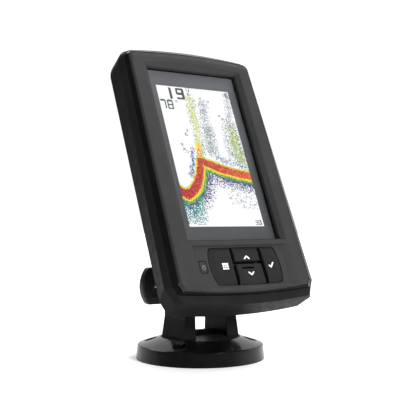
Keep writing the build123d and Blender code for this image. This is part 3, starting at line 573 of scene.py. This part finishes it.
def make_picture():
    """The screen's picture: a grid of cells, each with its own colour."""
    chance = random.Random(SEED)
    bars = reading_bars()
    columns, rows = CELLS
    half_x, half_y = ACTIVE_MM
    step_x, step_y = 2 * half_x / columns, 2 * half_y / rows
    vertices = [(-half_x + i * step_x, -half_y + j * step_y, PICTURE_Z)
                for j in range(rows + 1) for i in range(columns + 1)]
    faces, colours = [], []
    for j in range(rows):
        for i in range(columns):
            k = j * (columns + 1) + i
            faces.append([k, k + 1, k + columns + 2, k + columns + 1])
            x, y = -half_x + (i + 0.5) * step_x, -half_y + (j + 0.5) * step_y
            colour = echo_colour(x, y, chance)
            for a, b, line, tone in bars:
                if to_segment(x, y, a, b) < line:
                    colour = (tone ** TONE_POWER,) * 3
            colours.append(colour)
    picture = mesh_piece("sonar_picture", vertices, faces, lit_picture("lit_picture"), "head")
    layer = picture.data.color_attributes.new("picture", "FLOAT_COLOR", "CORNER")
    values = [v for colour in colours for _ in range(4) for v in (*colour, 1.0)]
    layer.data.foreach_set("color", values)


BORDER_HALF, BORDER_BOTTOM, BORDER_TOP = 33.6, -58.2, 58.0
BORDER_Z = (0.12, 0.22)


def make_border():
    """Printed frame behind the lens, round the lit area."""
    half_x, half_y = ACTIVE_MM
    ring = rectangle(-BORDER_HALF, BORDER_HALF, BORDER_BOTTOM, BORDER_TOP)
    hole = rectangle(-half_x, half_x, -half_y, half_y)
    vertices = [(x, y, z) for z in BORDER_Z for x, y in ring + hole]
    faces = []
    for i in range(4):
        j = (i + 1) % 4
        faces.append([8 + i, 8 + j, 12 + j, 12 + i])
        faces.append([i, 4 + i, 4 + j, j])
        faces.append([i, j, 8 + j, 8 + i])
        faces.append([4 + i, 12 + i, 12 + j, 4 + j])
    mesh_piece("window_border", vertices, faces, printed_border_and_sheen("border_ink_and_sheen"), "head")


# ---------------------------------------------------------------- key legends
KEY_TOP = 5.1
DISH_R, DISH_RISE = 40.0, 39.65       # the sphere that hollows a key, and its centre over the key top
DISH_CENTRES = {"menu": (-12.7, -74.0), "up": (3.6, -67.0), "down": (4.1, -79.2),
                "check": (20.6, -74.0)}
LEGEND_SINK, LEGEND_RISE = 0.03, 0.10
POWER_LEGEND_Z = (4.45, 4.6)
GRID_LEFT, GRID_LOW = -14.5, -76.0
GRID_PITCH, GRID_SQUARE = (1.45, 1.4), (1.1, 1.05)


def dish_height(key):
    """Height of the key's dished top, in the head frame."""
    cx, cy = DISH_CENTRES[key]

    def height(x, y):
        d2 = (x - cx) ** 2 + (y - cy) ** 2
        return min(KEY_TOP, KEY_TOP + DISH_RISE - math.sqrt(DISH_R ** 2 - d2))
    return height


def legend(name, key, outlines, material):
    """Raised ink that follows the key's dished top; the painted shade along the down key's ridge is
    laid on the same way.
    """
    top = dish_height(key)
    vertices, faces = slab(outlines, lambda x, y: top(x, y) - LEGEND_SINK,
                           lambda x, y: top(x, y) + LEGEND_RISE)
    mesh_piece(name, vertices, faces, material, f"{key}_button")


def menu_grid():
    """Three by three small squares."""
    squares = []
    for column in range(3):
        for row in range(3):
            x, y = GRID_LEFT + column * GRID_PITCH[0], GRID_LOW + row * GRID_PITCH[1]
            squares.append(rectangle(x, x + GRID_SQUARE[0], y, y + GRID_SQUARE[1]))
    return squares


def make_legends():
    white = ink("legend_ink", (0.86, 0.86, 0.86))
    # near-black stroke without shine: painted shade along the ridge on the down key
    dark = ink("painted_groove_shade", (0.002, 0.002, 0.002), rough=0.9, shine=0.0)
    legend("menu_legend", "menu", menu_grid(), white)
    legend("up_legend", "up", stroke([(1.9, -69.9), (3.6, -68.4), (5.3, -69.9)], 0.8), white)
    legend("down_legend", "down", stroke([(2.7, -78.2), (4.4, -79.7), (6.1, -78.2)], 0.8), white)
    legend("check_legend", "check", stroke([(18.6, -74.5), (19.7, -75.6), (21.7, -72.9)], 0.75), white)
    legend("down_ridge_shade", "down", stroke([(-1.2, -75.5), (6.6, -75.5)], 1.0), dark)
    make_power_legend()


def make_power_legend():
    """Broken ring with a bar, on the flat power key."""
    ring = stroke([(-27.6, -73.0), (-28.1, -74.2), (-27.6, -75.4), (-26.3, -75.4), (-25.8, -74.2),
                   (-26.3, -73.0)], 0.3)
    bar = rectangle(-27.2, -26.8, -74.2, -72.8)
    bottom, top = POWER_LEGEND_Z
    vertices, faces = slab(ring + [bar], lambda x, y: bottom, lambda x, y: top)
    mesh_piece("power_legend", vertices, faces, ink("pale_ink", (0.15, 0.15, 0.155)), "power_button")


# ---------------------------------------------------------------- studio
FLOOR_RADII, FLOOR_SIDES = (0.3, 1.0, 4.0), 64


def make_stage():
    """Round white floor, in rings."""
    turns = [2 * math.pi * i / FLOOR_SIDES for i in range(FLOOR_SIDES)]
    vertices = [(r * math.cos(turn), r * math.sin(turn), 0.0) for r in FLOOR_RADII for turn in turns]
    faces = [list(range(FLOOR_SIDES))]
    for ring in range(len(FLOOR_RADII) - 1):
        inner, outer = ring * FLOOR_SIDES, (ring + 1) * FLOOR_SIDES
        for i in range(FLOOR_SIDES):
            j = (i + 1) % FLOOR_SIDES
            faces.append([inner + i, outer + i, outer + j, inner + j])
    mesh = bpy.data.meshes.new("studio_floor")
    mesh.from_pydata(vertices, [], faces)
    mesh.materials.append(backdrop("studio_white"))
    floor = bpy.data.objects.new("studio_floor", mesh)
    bpy.context.scene.collection.objects.link(floor)


def add_light(name, at, aim, size, power):
    data = bpy.data.lights.new(name, "AREA")
    data.shape, data.size, data.size_y, data.energy = "RECTANGLE", size[0], size[1], power
    light = bpy.data.objects.new(name, data)
    bpy.context.scene.collection.objects.link(light)
    light.location = at
    light.rotation_euler = (Vector(aim) - Vector(at)).to_track_quat("-Z", "Y").to_euler()


BRIGHT_SIDE = (0.91, 0.36, 0.22)      # direction that the surround is brightest in


def make_world():
    """White surround that falls to dark grey on the object's left."""
    world = bpy.data.worlds.new("studio")
    bpy.context.scene.world = world
    world.use_nodes = True
    tree = world.node_tree
    background = tree.nodes["Background"]
    direction = tree.nodes.new("ShaderNodeTexCoord")
    facing = tree.nodes.new("ShaderNodeVectorMath")
    facing.operation = "DOT_PRODUCT"
    facing.inputs[1].default_value = BRIGHT_SIDE
    fade = tree.nodes.new("ShaderNodeMapRange")
    fade.interpolation_type = "SMOOTHSTEP"
    for socket, value in (("From Min", -0.05), ("From Max", 0.55), ("To Min", 0.10), ("To Max", 1.05)):
        fade.inputs[socket].default_value = value
    tree.links.new(direction.outputs["Generated"], facing.inputs[0])
    tree.links.new(facing.outputs["Value"], fade.inputs["Value"])
    tree.links.new(fade.outputs["Result"], background.inputs["Strength"])
    background.inputs["Color"].default_value = (1.0, 1.0, 1.0, 1)
    bpy.context.scene.view_settings.view_transform = "Standard"


def make_lights():
    """Three soft boxes."""
    add_light("top_right_box", at=(0.72, 0.05, 1.1), aim=(0, 0, 0.10), size=(0.6, 0.6), power=9.0)
    add_light("front_box", at=(0.10, -1.3, 0.55), aim=(0, 0, 0.06), size=(0.5, 0.3), power=20.0)
    add_light("back_box", at=(-0.2, 0.9, 1.0), aim=(0, 0, 0.12), size=(0.8, 0.5), power=3.5)


add_camera()
dress_cad(make_looks())
make_picture()
make_border()
make_legends()
make_stage()
make_world()
make_lights()
